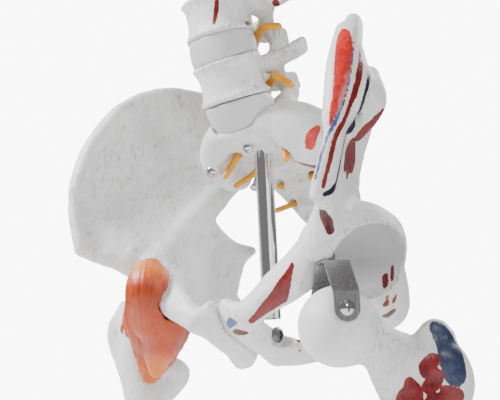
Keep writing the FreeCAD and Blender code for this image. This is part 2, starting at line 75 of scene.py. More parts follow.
class Clay:
    """A block of space, in millimetres, in which a shape is modelled as its distance field."""

    def __init__(self, low, high, reach=7.0):
        self.low = np.array(low, float)
        self.count = np.ceil((np.array(high, float) - self.low) / VOXEL).astype(int) + 1
        self.reach = reach
        self.axes = [self.low[i] + VOXEL * np.arange(self.count[i]) for i in range(3)]
        self.field = np.full(self.count, reach, np.float32)

    def balls(self, samples):
        """The union of balls, each x, y, z, radius."""
        field = np.full(self.count, self.reach, np.float32)
        for x, y, z, r in np.asarray(samples, float).reshape(-1, 4):
            window = []
            for i, c in enumerate((x, y, z)):
                a = int(np.floor((c - r - self.reach - self.low[i]) / VOXEL))
                b = int(np.ceil((c + r + self.reach - self.low[i]) / VOXEL)) + 1
                window.append(slice(min(max(a, 0), self.count[i]), min(max(b, 0), self.count[i])))
            dx = (self.axes[0][window[0]] - x)[:, None, None]
            dy = (self.axes[1][window[1]] - y)[None, :, None]
            dz = (self.axes[2][window[2]] - z)[None, None, :]
            part = field[tuple(window)]
            np.minimum(part, (np.sqrt(dx * dx + dy * dy + dz * dz) - r).astype(np.float32), out=part)
        return field

    def add(self, other, blend=5.0):
        """Joins more material on with a soft fillet."""
        mix = np.clip(0.5 + 0.5 * (self.field - other) / blend, 0, 1)
        self.field = self.field * (1 - mix) + other * mix - blend * mix * (1 - mix)

    def take(self, other, blend=1.5):
        """Cuts a shape out with a slightly rounded edge."""
        mix = np.clip(0.5 - 0.5 * (self.field + other) / blend, 0, 1)
        self.field = self.field * (1 - mix) - other * mix + blend * mix * (1 - mix)

    def strand(self, stations, blend=5.0, gap=1.5):
        self.add(self.balls(smooth_run(stations, gap)), blend)

    def sheet(self, rows, blend=5.0, gap=2.0):
        dense = smooth_run(rows, gap)
        self.add(self.balls(smooth_run(dense.swapaxes(0, 1), gap)), blend)

    def dig(self, stations, blend=1.5, gap=1.0):
        self.take(self.balls(smooth_run(stations, gap)), blend)

    def soften(self):
        """Evens the field out a little, as worn bone is."""
        for axis in range(3):
            f = np.moveaxis(self.field, axis, 0)
            g = f.copy()
            g[1:-1] = 0.25 * f[:-2] + 0.5 * f[1:-1] + 0.25 * f[2:]
            self.field = np.moveaxis(g, 0, axis)

    def cut_below(self, level):
        self.field = np.maximum(self.field, (level - self.axes[2])[None, None, :].astype(np.float32))

    def read(self, points, source=None):
        """The field, or another grid of the same size, read between its cells at points."""
        grid = self.field if source is None else source
        q = np.clip((np.asarray(points) - self.low) / VOXEL, 0, self.count - 1.001)
        i = q.astype(int)
        f = q - i
        value = 0
        for corner in range(8):
            bits = np.array([corner & 1, corner >> 1 & 1, corner >> 2 & 1])
            share = np.prod(np.where(bits, f, 1 - f), axis=1)
            value = value + share * grid[i[:, 0] + bits[0], i[:, 1] + bits[1], i[:, 2] + bits[2]]
        return value

    def creases(self):
        """How sharply the surface bends, from 0 on broad faces to 1 on ridges and in hollows."""
        total = -6 * self.field
        for axis in range(3):
            total += np.roll(self.field, 1, axis) + np.roll(self.field, -1, axis)
        return np.clip((np.abs(total) / VOXEL**2 - 0.05) * 7, 0, 1)

    def weather(self, amount, cells=(3, 6)):
        """Pits and swells the surface as cast bone is, most where it bends."""
        where = 0.25 + 0.75 * self.creases()
        for step in cells:
            coarse = rng.normal(0, 1, [n // step + 3 for n in self.count])
            for axis in range(3):
                place = np.arange(self.count[axis]) / step
                i = place.astype(int)
                shape = [1, 1, 1]
                shape[axis] = -1
                f = (place - i).reshape(shape)
                f = f * f * (3 - 2 * f)
                coarse = np.take(coarse, i, axis) * (1 - f) + np.take(coarse, i + 1, axis) * f
            self.field = self.field + (amount * where * coarse).astype(np.float32)

    def skin(self):
        """The surface: points in millimetres and four-sided faces."""
        grid = openvdb.FloatGrid(self.reach)
        grid.copyFromArray(np.ascontiguousarray(self.field, dtype=np.float32))
        points, _, quads = grid.convertToPolygons(0.0, 0.0)
        return points * VOXEL + self.low, quads


def piece(name, points, faces, material, body, nodes, values=None):
    """A finished piece from points in millimetres, tied to its body and to the parts it replaces."""
    faces = np.asarray(faces)
    mesh = bpy.data.meshes.new(name)
    mesh.vertices.add(len(points))
    mesh.vertices.foreach_set("co", (np.asarray(points) / 1000).astype(np.float32).ravel())
    mesh.loops.add(faces.size)
    mesh.loops.foreach_set("vertex_index", faces.astype(np.int32).ravel())
    mesh.polygons.add(len(faces))
    mesh.polygons.foreach_set("loop_start", (np.arange(len(faces)) * faces.shape[1]).astype(np.int32))
    mesh.update()
    mesh.validate()
    mesh.polygons.foreach_set("use_smooth", np.ones(len(mesh.polygons), bool))
    for key, value in (values or {}).items():
        kind = "FLOAT_COLOR" if value.ndim == 2 else "FLOAT"
        field = "color" if value.ndim == 2 else "value"
        mesh.attributes.new(key, kind, "POINT").data.foreach_set(field, value.astype(np.float32).ravel())
    mesh.materials.append(material)
    made = bpy.data.objects.new(name, mesh)
    bpy.context.scene.collection.objects.link(made)
    if body:
        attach(made, body)
    if nodes:
        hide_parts(*nodes)
    return made


def group(name, inputs, outputs):
    """An empty node group with its sockets and its two end nodes."""
    tree = bpy.data.node_groups.new(name, "ShaderNodeTree")
    for label, kind, default in inputs:
        made = tree.interface.new_socket(name=label, in_out="INPUT", socket_type=kind)
        made.default_value = default
    for label, kind in outputs:
        tree.interface.new_socket(name=label, in_out="OUTPUT", socket_type=kind)
    return tree, tree.nodes.new("NodeGroupInput"), tree.nodes.new("NodeGroupOutput")


def feed(tree, node, links):
    """Feeds a node's inputs, each from a value or from another node's output."""
    for key, value in links.items():
        if isinstance(value, bpy.types.NodeSocket):
            tree.links.new(value, node.inputs[key])
        else:
            node.inputs[key].default_value = value


def put(tree, kind, links=None, **settings):
    """Adds a node, sets its properties and feeds its inputs."""
    made = tree.nodes.new(kind)
    for key, value in settings.items():
        setattr(made, key, value)
    feed(tree, made, links or {})
    return made


def new_material(name):
    """A new material with its node tree and its shader."""
    material = bpy.data.materials.new(name)
    material.use_nodes = True
    return material, material.node_tree, material.node_tree.nodes["Principled BSDF"]


def noise(tree, place, scale, detail=2.0, roughness=0.5, distortion=0.0):
    return put(tree, "ShaderNodeTexNoise", {"Vector": place, "Scale": scale, "Detail": detail,
                                            "Roughness": roughness, "Distortion": distortion}).outputs[0]


def remap(tree, value, low, high, new_low=0.0, new_high=1.0):
    return put(tree, "ShaderNodeMapRange", {"Value": value, "From Min": low, "From Max": high,
                                            "To Min": new_low, "To Max": new_high}).outputs[0]


def attribute(tree, name, output="Fac"):
    return put(tree, "ShaderNodeAttribute", attribute_name=name).outputs[output]


def ramp(tree, source, stops):
    """A colour ramp with the stops given as position, colour."""
    made = put(tree, "ShaderNodeValToRGB", {"Fac": source})
    while len(made.color_ramp.elements) < len(stops):
        made.color_ramp.elements.new(0.5)
    for element, (place, colour) in zip(made.color_ramp.elements, stops):
        element.position = place
        element.color = (*colour, 1)
    return made.outputs["Color"]


def math_node(tree, operation, a, b=0.0, c=0.0, clamp=False):
    links = {0: a, 1: b, 2: c}
    return put(tree, "ShaderNodeMath", links, operation=operation, use_clamp=clamp).outputs[0]


def blend_colours(tree, share, a, b):
    return put(tree, "ShaderNodeMix", {0: share, 6: a, 7: b}, data_type="RGBA").outputs[2]


def bone_group():
    """The look of cast bone: pale warm grey, darker in its pores, with fine grain along the bone."""
    tree, gin, gout = group("Cast bone", [("Grit", "NodeSocketFloat", 0.5)],
                            [("Colour", "NodeSocketColor"), ("Roughness", "NodeSocketFloat"),
                             ("Height", "NodeSocketFloat")])
    place = put(tree, "ShaderNodeTexCoord").outputs["Object"]
    along = put(tree, "ShaderNodeMapping", {"Vector": place, "Rotation": (0.35, 0.15, 0.0),
                                            "Scale": (1.0, 1.0, 0.22)}).outputs[0]
    cloud = noise(tree, place, 38.0, 3.0)
    grain = noise(tree, along, 640.0, 4.0, 0.62, 0.6)
    pits = put(tree, "ShaderNodeTexVoronoi", {"Vector": along, "Scale": 520.0}).outputs[0]
    pits = remap(tree, pits, 0.05, 0.32)
    patchy = remap(tree, noise(tree, place, 95.0), 0.42, 0.62)
    gritty = math_node(tree, "MULTIPLY_ADD", patchy, 0.18, gin.outputs["Grit"], clamp=True)
    tone = ramp(tree, cloud, [(0.3, (0.74, 0.74, 0.74)), (0.7, (0.86, 0.86, 0.855))])
    dark = remap(tree, math_node(tree, "SUBTRACT", 1.0, grain), 0.48, 0.68)
    dark = math_node(tree, "MULTIPLY", dark, gritty)
    pitted = math_node(tree, "MULTIPLY", math_node(tree, "SUBTRACT", 1.0, pits), gritty)
    shade = math_node(tree, "MULTIPLY_ADD", pitted, 0.3, math_node(tree, "MULTIPLY", dark, 0.75),
                      clamp=True)
    colour = blend_colours(tree, shade, tone, (0.27, 0.265, 0.255, 1))
    lift = math_node(tree, "MULTIPLY", grain, gritty)
    height = math_node(tree, "MULTIPLY_ADD", pitted, -0.5, lift)
    rough = remap(tree, grain, 0.0, 1.0, 0.42, 0.62)
    feed(tree, gout, {"Colour": colour, "Roughness": rough, "Height": height})
    return tree


def paint_group():
    """Brush paint laid on the bone: colour inside the painted outline and a cream line round it."""
    tree, gin, gout = group("Brushed paint", [("Base", "NodeSocketColor", (0.8, 0.8, 0.8, 1)),
                                              ("Paint", "NodeSocketColor", (1, 0, 0, 1)),
                                              ("Edge", "NodeSocketFloat", 5.0)],
                            [("Colour", "NodeSocketColor"), ("Cover", "NodeSocketFloat")])
    place = put(tree, "ShaderNodeTexCoord").outputs["Object"]
    edge = math_node(tree, "MULTIPLY_ADD", noise(tree, place, 420.0), 1.3, gin.outputs["Edge"])
    edge = math_node(tree, "SUBTRACT", edge, 0.65)
    cover = remap(tree, edge, 0.12, -0.12)
    line = math_node(tree, "MULTIPLY", remap(tree, edge, 1.15, 0.8), 0.8)
    worn = remap(tree, noise(tree, place, 260.0, 4.0, 0.7), 0.35, 0.68, 0.55, 1.25)
    deep = put(tree, "ShaderNodeVectorMath", {0: gin.outputs["Paint"], 1: worn},
               operation="MULTIPLY").outputs[0]
    ground = blend_colours(tree, line, gin.outputs["Base"], (0.80, 0.76, 0.64, 1))
    feed(tree, gout, {"Colour": blend_colours(tree, cover, ground, deep), "Cover": cover})
    return tree


def bone_material(name, painted):
    """Cast bone with or without paint over it."""
    material, tree, shader = new_material(name)
    bone = put(tree, "ShaderNodeGroup", {}, node_tree=BONE)
    feed(tree, bone, {"Grit": attribute(tree, "grit")})
    colour, rough, height = bone.outputs["Colour"], bone.outputs["Roughness"], bone.outputs["Height"]
    if painted:
        coat = put(tree, "ShaderNodeGroup", {}, node_tree=PAINT)
        feed(tree, coat, {"Base": colour, "Paint": attribute(tree, "paint", "Color"),
                          "Edge": attribute(tree, "edge")})
        colour, cover = coat.outputs["Colour"], coat.outputs["Cover"]
        rough = math_node(tree, "MULTIPLY_ADD", cover, -0.18, rough)
        height = math_node(tree, "MULTIPLY_ADD", cover, 0.25, height)
    bump = put(tree, "ShaderNodeBump", {"Height": height, "Strength": 0.8, "Distance": 0.0008})
    feed(tree, shader, {"Base Color": colour, "Roughness": rough, "Normal": bump.outputs[0]})
    return material


def painted_values(points, faces, strokes):
    """Where the brush strokes lie: the nearest stroke's colour and the distance to its edge."""
    a, b, c = points[faces[:, 0]], points[faces[:, 1]], points[faces[:, 2]]
    across = np.cross(b - a, c - a)
    normal = np.zeros_like(points)
    for k in range(4):
        np.add.at(normal, faces[:, k], across)
    normal /= np.maximum(np.linalg.norm(normal, axis=1, keepdims=True), 1e-9)
    edge = np.full(len(points), 6.0)
    colour = np.tile(np.array([0.4, 0.03, 0.03, 1.0]), (len(points), 1))
    for paint, facing, stations in strokes:
        run = smooth_run(stations, 1.2)
        lo, hi = run[:, :3].min(0) - 12, run[:, :3].max(0) + 12
        near = np.flatnonzero(((points > lo) & (points < hi)).all(1))
        if not len(near):
            continue
        gap = np.linalg.norm(points[near, None, :] - run[None, :, :3], axis=2) - run[None, :, 3]
        gap = gap.min(1)
        away = normal[near] @ (np.array(facing) / np.linalg.norm(facing))
        gap = gap + np.clip(0.15 - away, 0, 1) * 30
        nearer = gap < edge[near]
        edge[near[nearer]] = gap[nearer]
        colour[near[nearer]] = (*paint, 1.0)
    return {"edge": edge, "paint": colour}


BONE = bone_group()
PAINT = paint_group()
plain_bone = bone_material("Cast bone", False)
painted_bone = bone_material("Painted cast bone", True)
# The deepest red is the real red muscle paint, made darker where the painted areas face down into shade:
# painted shade.
RED, SHADED_RED, CORAL = (0.20, 0.006, 0.008), (0.085, 0.004, 0.006), (0.62, 0.022, 0.014)
BLUE, NAVY, SLATE = (0.05, 0.10, 0.33), (0.006, 0.009, 0.035), (0.028, 0.042, 0.10)
PALE_RED = (0.45, 0.07, 0.06)

HIP_CENTRE = np.array([86.5, -13.5, 33.5])
CUP_RADIUS = 24.5
socket_out = np.array([0.75, -0.27, -0.58])
socket_out /= np.linalg.norm(socket_out)
hip = Clay((-3, -88, -44), (150, 74, 192))
hip.sheet([
    [(90, -42, 47, 8), (82, -30, 54, 8.5), (74, -10, 68, 9), (66, 5, 84, 8), (58, 22, 102, 7.5),
     (52, 38, 120, 7.5)],
    [(100, -55, 50, 6.5), (93, -38, 66, 5.5), (87, -18, 86, 5), (79, 0, 106, 5.5), (66, 18, 122, 7.5),
     (54, 38, 134, 8.5)],
    [(108, -63, 53, 5.0), (107, -50, 78, 3.4), (103, -34, 104, 2.4), (92, -14, 128, 2.6),
     (76, 6, 142, 5.5), (57, 36, 144, 8.5)],
    [(112, -69, 56, 4.6), (117, -61, 88, 3.4), (116, -49, 118, 3.0), (104, -27, 147, 2.8),
     (84, -2, 159, 4.0), (58, 34, 152, 7.5)],
    [(110.5, -71, 58, 4.8), (121, -68, 90, 4.6), (122, -55, 126, 6.2), (111, -33, 160, 5.0),
     (89, -7, 172, 4.4), (60, 29, 160, 6)],
], 3)
hip.strand([(107, -37, 158, 4.4), (111, -46, 145, 5.4), (116, -56, 130, 5.6), (118, -63, 112, 5),
            (119, -68, 98, 4)], 5)
hip.strand([(118, -62, 98, 4), (124, -54, 110, 6.0), (125, -49, 122, 6.4), (119, -42, 138, 4)], 5)
hip.strand([(118, -46, 92, 3), (125, -41, 103, 4.8), (127.5, -38, 113, 5.4), (122, -34, 128, 4)], 6)
hip.add(hip.balls([(*HIP_CENTRE, 27.4)]), 12)
hip.sheet([
    [(60, 8, 90, 8), (67, -6, 74, 9), (72, -20, 56, 9), (76, -34, 42, 9)],
    [(66, 5, 76, 5.5), (68, 0, 62, 7.5), (71, -12, 46, 8.5), (74, -28, 32, 8.5)],
    [(63, 18, 61, 4.5), (67, 15, 48, 7), (70, 4, 32, 8.5), (74, -14, 20, 8)],
    [(55, 30, 53, 3), (65, 27, 38, 6.5), (69, 18, 20, 9), (77, 0, 12, 8)],
], 6)
hip.strand([(84, 4, 24, 17), (78, 18, 14, 15.5), (70, 32, 6, 13.5), (65, 40, 3, 12)], 6)
hip.strand([(60, 30, 52, 5), (53, 33, 53, 3.2), (49, 34, 53, 2.2)], 5)
hip.sheet([
    [(64, 38, -3, 6), (54, 26, -13, 4), (40, 9, -23, 3.4), (28, -3, -26, 4.0), (15, -12, -25, 5.0)],
    [(60, 34, 6, 6.5), (51, 23, -7, 3.6), (40, 5, -17, 3.2), (30, -7, -20, 3.8), (18, -18, -15, 5.0)],
], 6)
hip.sheet([
    [(7, -46, 7, 4.2), (7.5, -38, -5, 5), (8, -24, -14, 5.4), (8.5, -13, -20, 5.4)],
    [(15, -45.5, 3, 5.0), (16, -38, -7, 5.5), (15, -25, -16, 5.4), (14, -12, -22, 5.4)],
    [(22, -44, 0, 5.5), (22, -36, -6, 4.2), (19.5, -22, -12, 4.2), (22, -9, -19, 4.2)],
], 5)
hip.strand([(78, -34, 34, 13), (66, -36, 25, 11.5), (52, -40, 15, 9), (38, -43, 7, 7),
            (24, -43.5, 0, 6.2)], 7)
hip.strand([(72, -30, 46, 5), (60, -37, 33, 4), (46, -41, 23, 3.5), (32, -44, 12, 3.2),
            (20, -46, 1, 4.2)], 4)
hip.strand([(90, -38, 50, 8), (91, -45, 45, 7)], 6)
rim_side = np.cross(socket_out, [0, 0, 1.0])
rim_side /= np.linalg.norm(rim_side)
rim_up = np.cross(rim_side, socket_out)
rim = []
for k in range(-11, 12):
    turn = k * math.pi * 0.86 / 11
    ring = (math.cos(turn) * rim_up + math.sin(turn) * rim_side) * 25.2
    rim.append((*(HIP_CENTRE + socket_out * 4.0 + ring), 2.5 if abs(k) < 9 else 2.0))
hip.strand(rim, 5)
hip.soften()
hip.weather(0.28)
hip.take(hip.balls([(*HIP_CENTRE, CUP_RADIUS)]), 1.5)
mouth = [(*(HIP_CENTRE + socket_out * step), CUP_RADIUS) for step in range(4, 30, 3)]
hip.take(hip.balls(mouth), 1.5)
hip.dig([(22, -14, 26, 4), (30, -18, 14, 6.5), (38, -22, -2, 5)], 3)
hip.dig([(38, -4, 26, 8), (44, -8, 10, 10.5), (50, -12, -10, 9)], 3)
hip.dig([(42, -22, 10, 6), (38, -14, 2, 7), (36, -6, -6, 6)], 3)
hip.field = np.maximum(hip.field, (2.7 - hip.axes[0])[:, None, None].astype(np.float32))
hip_both = hip.field.copy()
X, Y, Z = np.meshgrid(*hip.axes, indexing="ij")
strap_room = (np.hypot(X - 88, Y + 38) - np.interp(Z, (5, 26), (27, 12.5))) * 0.81
hip.take(np.maximum(strap_room, np.abs(Z - 15) - 11.4).astype(np.float32), 1.0)
screw_seat = np.maximum(np.hypot(Y + 17.5, Z + 11.5) - 7.6, np.abs(X - 31.4) - 10)
hip.take(screw_seat.astype(np.float32), 0.6)
hip_creases = hip.creases()
hip_points, hip_faces = hip.skin()


def hip_grit(points):
    """How open the grain is on a hip bone: none in the smooth cup of the socket."""
    in_cup = np.linalg.norm(points - HIP_CENTRE, axis=1) < CUP_RADIUS + 1.1
    return np.where(in_cup, 0.0, 0.12 + 0.88 * hip.read(points, hip_creases))


# Where a red area turns to face down, the deepest red laid there is painted shade over the real red paint.
HIP_STROKES = [
    (CORAL, (0.18, -0.89, 0.41),
     [(110.3, -38.9, 157.9, 2.0), (117.4, -49.5, 147.1, 4.5), (122.9, -57.9, 135.1, 5.0),
      (125.5, -64.2, 121.8, 4.4), (125.9, -68.3, 109.7, 3.5), (124.1, -71.2, 100.2, 2.1),
      (122.7, -72.6, 93.6, 0.8)]),
    (BLUE, (0.62, -0.76, 0.22),
     [(113.6, -35.0, 160.8, 0.6), (121.7, -46.5, 148.2, 0.6), (128.1, -57.4, 128.6, 0.6),
      (128.5, -65.0, 109.1, 0.6), (125.6, -70.8, 95.5, 1.0), (120.1, -74.5, 85.1, 1.4),
      (112.8, -76.1, 65.5, 1.1)]),
    (RED, (0.97, -0.25, -0.04),
     [(116.9, -33.3, 158.4, 1.2), (122.9, -40.3, 147.4, 1.8), (130.1, -52.0, 129.1, 1.9),
      (129.9, -60.0, 109.6, 1.9), (127.8, -65.4, 96.9, 1.7), (125.2, -71.3, 86.1, 1.6),
      (121.2, -72.7, 74.1, 1.4), (116.3, -74.1, 60.2, 1.2)]),
    (NAVY, (0.9, -0.3, -0.1),
     [(124.5, -38.0, 140.0, 1.6), (132.6, -48.1, 122.1, 1.7), (132.1, -51.7, 111.6, 1.6),
      (127.6, -52.5, 103.4, 1.6), (119.8, -50.9, 96.3, 1.7), (119.8, -57.0, 87.5, 1.6),
      (119.5, -61.1, 76.2, 1.6), (118.2, -63.9, 64.7, 1.6), (118.1, -68.1, 58.8, 1.8),
      (116.5, -73.0, 56.4, 1.3)]),
    (RED, (0.9, -0.2, -0.3),
     [(120, -40, 100, 5), (114, -38, 96, 7), (108, -34, 88, 9), (104, -34, 78, 8)]),
    (RED, (0.9, 0.4, -0.2), [(116, -30, 104, 8), (108, -24, 96, 10), (102, -24, 84, 10)]),
    (RED, (0.95, 0.0, -0.3),
     [(129, -38, 104, 4), (125, -40, 96, 6), (119, -42, 87, 8), (112, -44, 78, 7)]),
    (SHADED_RED, (0.27, -0.34, -0.5),
     [(108.3, -67.0, 48.4, 2.2), (104.4, -59.0, 44.2, 3.4), (98.6, -49.5, 40.1, 2.6)]),
    (PALE_RED, (0.87, -0.2, 0.46),
     [(110.2, -23.9, 51.2, 0.7), (112.5, -19.5, 50.1, 0.9), (113.9, -14.3, 48.6, 0.8)]),
    (RED, (0.32, -0.83, -0.46),
     [(66.7, -48.9, 25.3, 1.6), (63.2, -48.9, 19.9, 2.8), (58.8, -49.0, 13.9, 4.4),
      (54.0, -47.8, 8.6, 5.2), (46.4, -48.0, 4.0, 4.4), (37.6, -47.9, -0.5, 3.0),
      (30.5, -47.9, -4.1, 2.2)]),
    (SHADED_RED, (0.42, -0.48, -0.77), [(55.0, -44.9, 6.2, 2.3), (49.8, -46.4, 4.3, 2.4)]),
    (BLUE, (-0.11, -0.91, -0.4),
     [(5.9, -45.6, -5.5, 2.6), (14.3, -48.3, -3.1, 3.0), (26.5, -49.4, -2.0, 1.6)]),
    (SHADED_RED, (-0.12, -0.8, -0.59),
     [(5.5, -43.0, -11.3, 2.2), (13.8, -43.8, -9.8, 2.6), (19.4, -43.1, -9.6, 2.2)]),
    (SHADED_RED, (0.6, -0.4, 0.2), [(36, -22, -6, 2.0), (33, -14, -12, 2.2), (32, -8, -16, 1.8)]),
    (SHADED_RED, (0.89, -0.3, -0.35),
     [(30.3, -23.2, -20.7, 1.3), (31.7, -16.7, -21.6, 1.7), (33.2, -10.3, -22.4, 0.8)]),
    (RED, (0.33, -0.94, -0.01),
     [(90.5, 7.0, 18.1, 2.2), (92.5, 4.0, 10.5, 2.1), (88.1, 8.8, 5.0, 2.1), (86.1, 9.8, -1.0, 1.9)]),
    (RED, (0.3, -0.95, -0.09),
     [(95.0, 8.5, 23.2, 1.5), (96.1, 6.3, 14.6, 1.6), (92.1, 11.6, 7, 1.6), (90.1, 13.6, 1.3, 1.5)]),
    (SHADED_RED, (0.37, -0.19, -0.91), [(78.0, 20.0, -4.5, 2.6), (84.5, 19.1, -1.4, 2.3)]),
]
values = painted_values(hip_points, hip_faces, HIP_STROKES)
values["grit"] = hip_grit(hip_points)
piece("hip_bone_left_cast", hip_points, hip_faces, painted_bone, "pelvis", ["hip_bone_left"],
      values)
hip.field = hip_both
points, faces = hip.skin()
piece("hip_bone_right_cast", points * (-1, 1, 1), faces[:, ::-1], plain_bone, "pelvis",
      ["hip_bone_right"], {"grit": hip_grit(points)})

# ---------------------------------------------------------------- sacrum and coccyx
# The sacrum is one casting with its foramina open for the nerves, and the coccyx is moulded to its tip.
# Two red muscle areas are painted on the left of its front.
SACRUM_FRONT = [(-25, 119, 0.72, 0.69, 32, 30), (-9, 114, 0.47, 0.88, 50, 33), (9, 108, 0.40, 0.92, 48, 28),
                (26, 99, 0.55, 0.83, 35, 22), (38, 86, 0.78, 0.62, 26, 15), (46, 70, 0.95, 0.30, 13, 9)]
sacrum = Clay((-66, -44, 52), (66, 72, 168))
front = []
for y, z, ny, nz, half, deep in SACRUM_FRONT:
    n = np.array([0, ny, nz]) / math.hypot(ny, nz)
    r = 6.0 if deep > 14 else 4.0
    row = []
    for share in (-1, -0.72, -0.36, 0, 0.36, 0.72, 1):
        row.append((*(np.array([share * (half - r), y, z]) + n * (r + 3.0 * share**2)), r))
    front.append(row)
sacrum.sheet(front, 4)
for depth, width in ((0.42, 0.86), (0.68, 0.6)):
    behind = []
    for y, z, ny, nz, half, deep in SACRUM_FRONT:
        n = np.array([0, ny, nz]) / math.hypot(ny, nz)
        r = max(3.0, 0.24 * deep)
        row = []
        for share in (-1, -0.5, 0, 0.5, 1):
            row.append((*(np.array([share * (half * width - r), y, z]) + n * (deep * depth + r * 0.3)), r))
        behind.append(row)
    sacrum.sheet(behind, 5)
for s in (-1, 1):
    sacrum.strand([(s * 8, -16, 127, 9), (s * 20, -16, 126, 8.5), (s * 32, -13, 121, 9),
                   (s * 42, -7, 115, 9.5), (s * 46, 0, 112, 9)], 6)
    sacrum.strand([(s * 26, -4, 132, 8), (s * 40, 0, 126, 9), (s * 47, 10, 122, 8)], 6)
    sacrum.strand([(s * 33, -6, 115, 10), (s * 38, 0, 108, 10.5), (s * 43, 9, 103, 9),
                   (s * 45, 20, 104, 8)], 7)
    sacrum.strand([(s * 20, 2, 142, 6), (s * 21, 8, 149, 5.5), (s * 20.5, 9, 154, 4)], 4)
    sacrum.strand([(s * 17, 22, 138, 3.5), (s * 17, 32, 126, 3.2), (s * 16, 44, 112, 3),
                   (s * 14, 54, 96, 2.6)], 4)
    sacrum.strand([(s * 7, 54, 78, 2.4), (s * 6, 56, 68, 2.0)], 3)
lip = []
for k in range(25):
    turn = k * math.pi / 12
    across, deep = 22 * math.cos(turn), 13.5 * math.sin(turn)
    lip.append((across, -12.8 + deep * 0.72, 130 + deep * 0.694, 3.4))
sacrum.strand(lip, 4)
sacrum.strand([(0, -16, 128, 12), (0, -8, 134, 10)], 4)
sacrum.strand([(0, 26, 141, 3.5), (0, 35, 134, 5), (0, 41, 122, 4), (0, 49, 113, 4.6), (0, 54, 99, 3.6),
               (0, 57, 89, 3.6)], 4)
for y, z, half in ((-1.5, 111.0, 15), (17, 104.6, 14), (32.4, 93, 11), (42.2, 79, 9)):
    sacrum.strand([(-half, y, z + 0.9, 2.0), (0, y - 0.6, z + 0.6, 2.2), (half, y, z + 0.9, 2.0)], 3)
sacrum.soften()
sacrum.weather(0.25)
X, Y, Z = np.meshgrid(*sacrum.axes, indexing="ij")
above = (Y + 15) * -0.694 + (Z - 133) * 0.72
across = np.hypot(X / 26.5, ((Y + 15) * 0.72 + (Z - 133) * 0.694) / 19)
sacrum.take(np.where(across < 1.0, -above, sacrum.reach).astype(np.float32), 0.5)
sacrum.dig([(0, 8, 140, 6.5), (0, 22, 128, 5), (0, 34, 112, 4), (0, 46, 96, 2.6)])
FORAMINA = [(22, -4, 113, 4.4), (18.5, 11, 106, 4.0), (16.3, 31, 95.5, 3.6), (14, 42, 82, 3.1)]
for s in (-1, 1):
    for x, y, z, r in FORAMINA:
        sacrum.dig([(s * (x + 8), y - 4, z - 8, r * 0.95), (s * (x + 3), y - 2, z - 4, r), (s * x, y, z, r),
                    (s * (x - 3), y + 4, z + 5, r * 0.8)], 2.5)
    for x, y, z in ((17, 22, 133), (17, 37, 119), (15, 47, 104), (13, 54, 90)):
        sacrum.dig([(s * x, y + 5, z + 3, 2.6), (s * x, y, z - 1, 2.2)], 2)
mirrored = np.stack([np.abs(X).ravel(), Y.ravel(), Z.ravel()], 1)
beside = hip.read(mirrored).reshape(X.shape)
sacrum.take((beside - 0.5).astype(np.float32), 0.6)
sacrum_creases = sacrum.creases()
points, faces = sacrum.skin()
values = painted_values(points, faces, [
    (CORAL, (0.81, -0.48, -0.34),
     [(53.6, -4.2, 116.2, 1.9), (52.1, -8.7, 110.7, 3.8), (49.3, -7.9, 105.5, 3.2)]),
    (RED, (0.33, -0.51, -0.8), [(25, 2, 101, 1.8), (34, -2.0, 97.5, 2.6), (42, 4, 94, 2.8)]),
])
values["grit"] = 0.15 + 0.6 * sacrum.read(points, sacrum_creases)
piece("sacrum_cast", points, faces, painted_bone, "pelvis", ["sacrum"], values)

coccyx = Clay((-14, 18, 40), (14, 64, 76))
for y, z, half, r in ((48, 63, 7.5, 4.0), (45, 56, 5.5, 3.4), (38.5, 53, 4, 3.0), (32, 53, 2.5, 2.7)):
    coccyx.strand([(-half + r * 0.6, y, z, r * 0.8), (0, y, z, r), (half - r * 0.6, y, z, r * 0.8)], 3)
coccyx.soften()
points, faces = coccyx.skin()
piece("coccyx_cast", points, faces, plain_bone, "pelvis", ["coccyx"],
      {"grit": np.full(len(points), 0.4)})

# ---------------------------------------------------------------- stand socket and screws
# A chromed tube runs up into the sacrum and slips over the pole of the stand, locked by a set screw.
# Cross-head screws hold the sacrum to the hip bones and the hip bones together; all are plated steel.


def metal(name, colour, roughness, brushed):
    """Plated or brushed metal with fine wear."""
    material, tree, shader = new_material(name)
    place = put(tree, "ShaderNodeTexCoord").outputs["Object"]
    stretch = (1, 1, 0.04 if brushed else 1)
    along = put(tree, "ShaderNodeMapping", {"Vector": place, "Scale": stretch}).outputs[0]
    wear = noise(tree, along, 1500.0 if brushed else 160.0, 3.0)
    spread = 0.14 if brushed else 0.05
    rough = remap(tree, wear, 0.0, 1.0, max(roughness - spread, 0.03), roughness + spread)
    feed(tree, shader, {"Metallic": 1.0, "Base Color": (*colour, 1), "Roughness": rough})
    if brushed:
        bump = put(tree, "ShaderNodeBump", {"Height": wear, "Strength": 0.15, "Distance": 0.0002})
        feed(tree, shader, {"Normal": bump.outputs[0]})
    return material


def refinish(node, material):
    """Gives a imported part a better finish, with the edges of its flat faces kept."""
    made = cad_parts[node]
    made.data.materials.clear()
    made.data.materials.append(material)


chrome = metal("Chrome plate", (0.80, 0.80, 0.81), 0.07, False)
plated = metal("Plated screw steel", (0.60, 0.60, 0.61), 0.16, False)
# The symphysis screw is plated steel like the others, drawn much darker for the shade of its recess:
# painted shade.
shaded_screw_steel = metal("Screw steel with painted shade", (0.16, 0.165, 0.17), 0.32, False)
strip = metal("Brushed steel strip", (0.42, 0.42, 0.43), 0.30, True)
refinish("stand_socket_tube", chrome)
refinish("socket_set_screw", plated)
refinish("symphysis_screw", shaded_screw_steel)
for end in ("upper_right", "lower_left", "lower_right"):
    refinish(f"sacroiliac_screw_{end}", plated)

# ---------------------------------------------------------------- pubic pad
# A smooth pad of softer plastic fills the gap between the two pubic bones and is clamped by their screw.
pad = Clay((-6, -60, -44), (6, -10, 24))
pad.sheet([[(0, -45, 6, 3.4), (0, -37.5, -5, 4.6), (0, -24, -14, 4.8), (0, -14, -19.5, 4.6)]], 2)
pad.field = np.maximum(pad.field + 1.4, (np.abs(pad.axes[0]) - 2.6)[:, None, None].astype(np.float32))


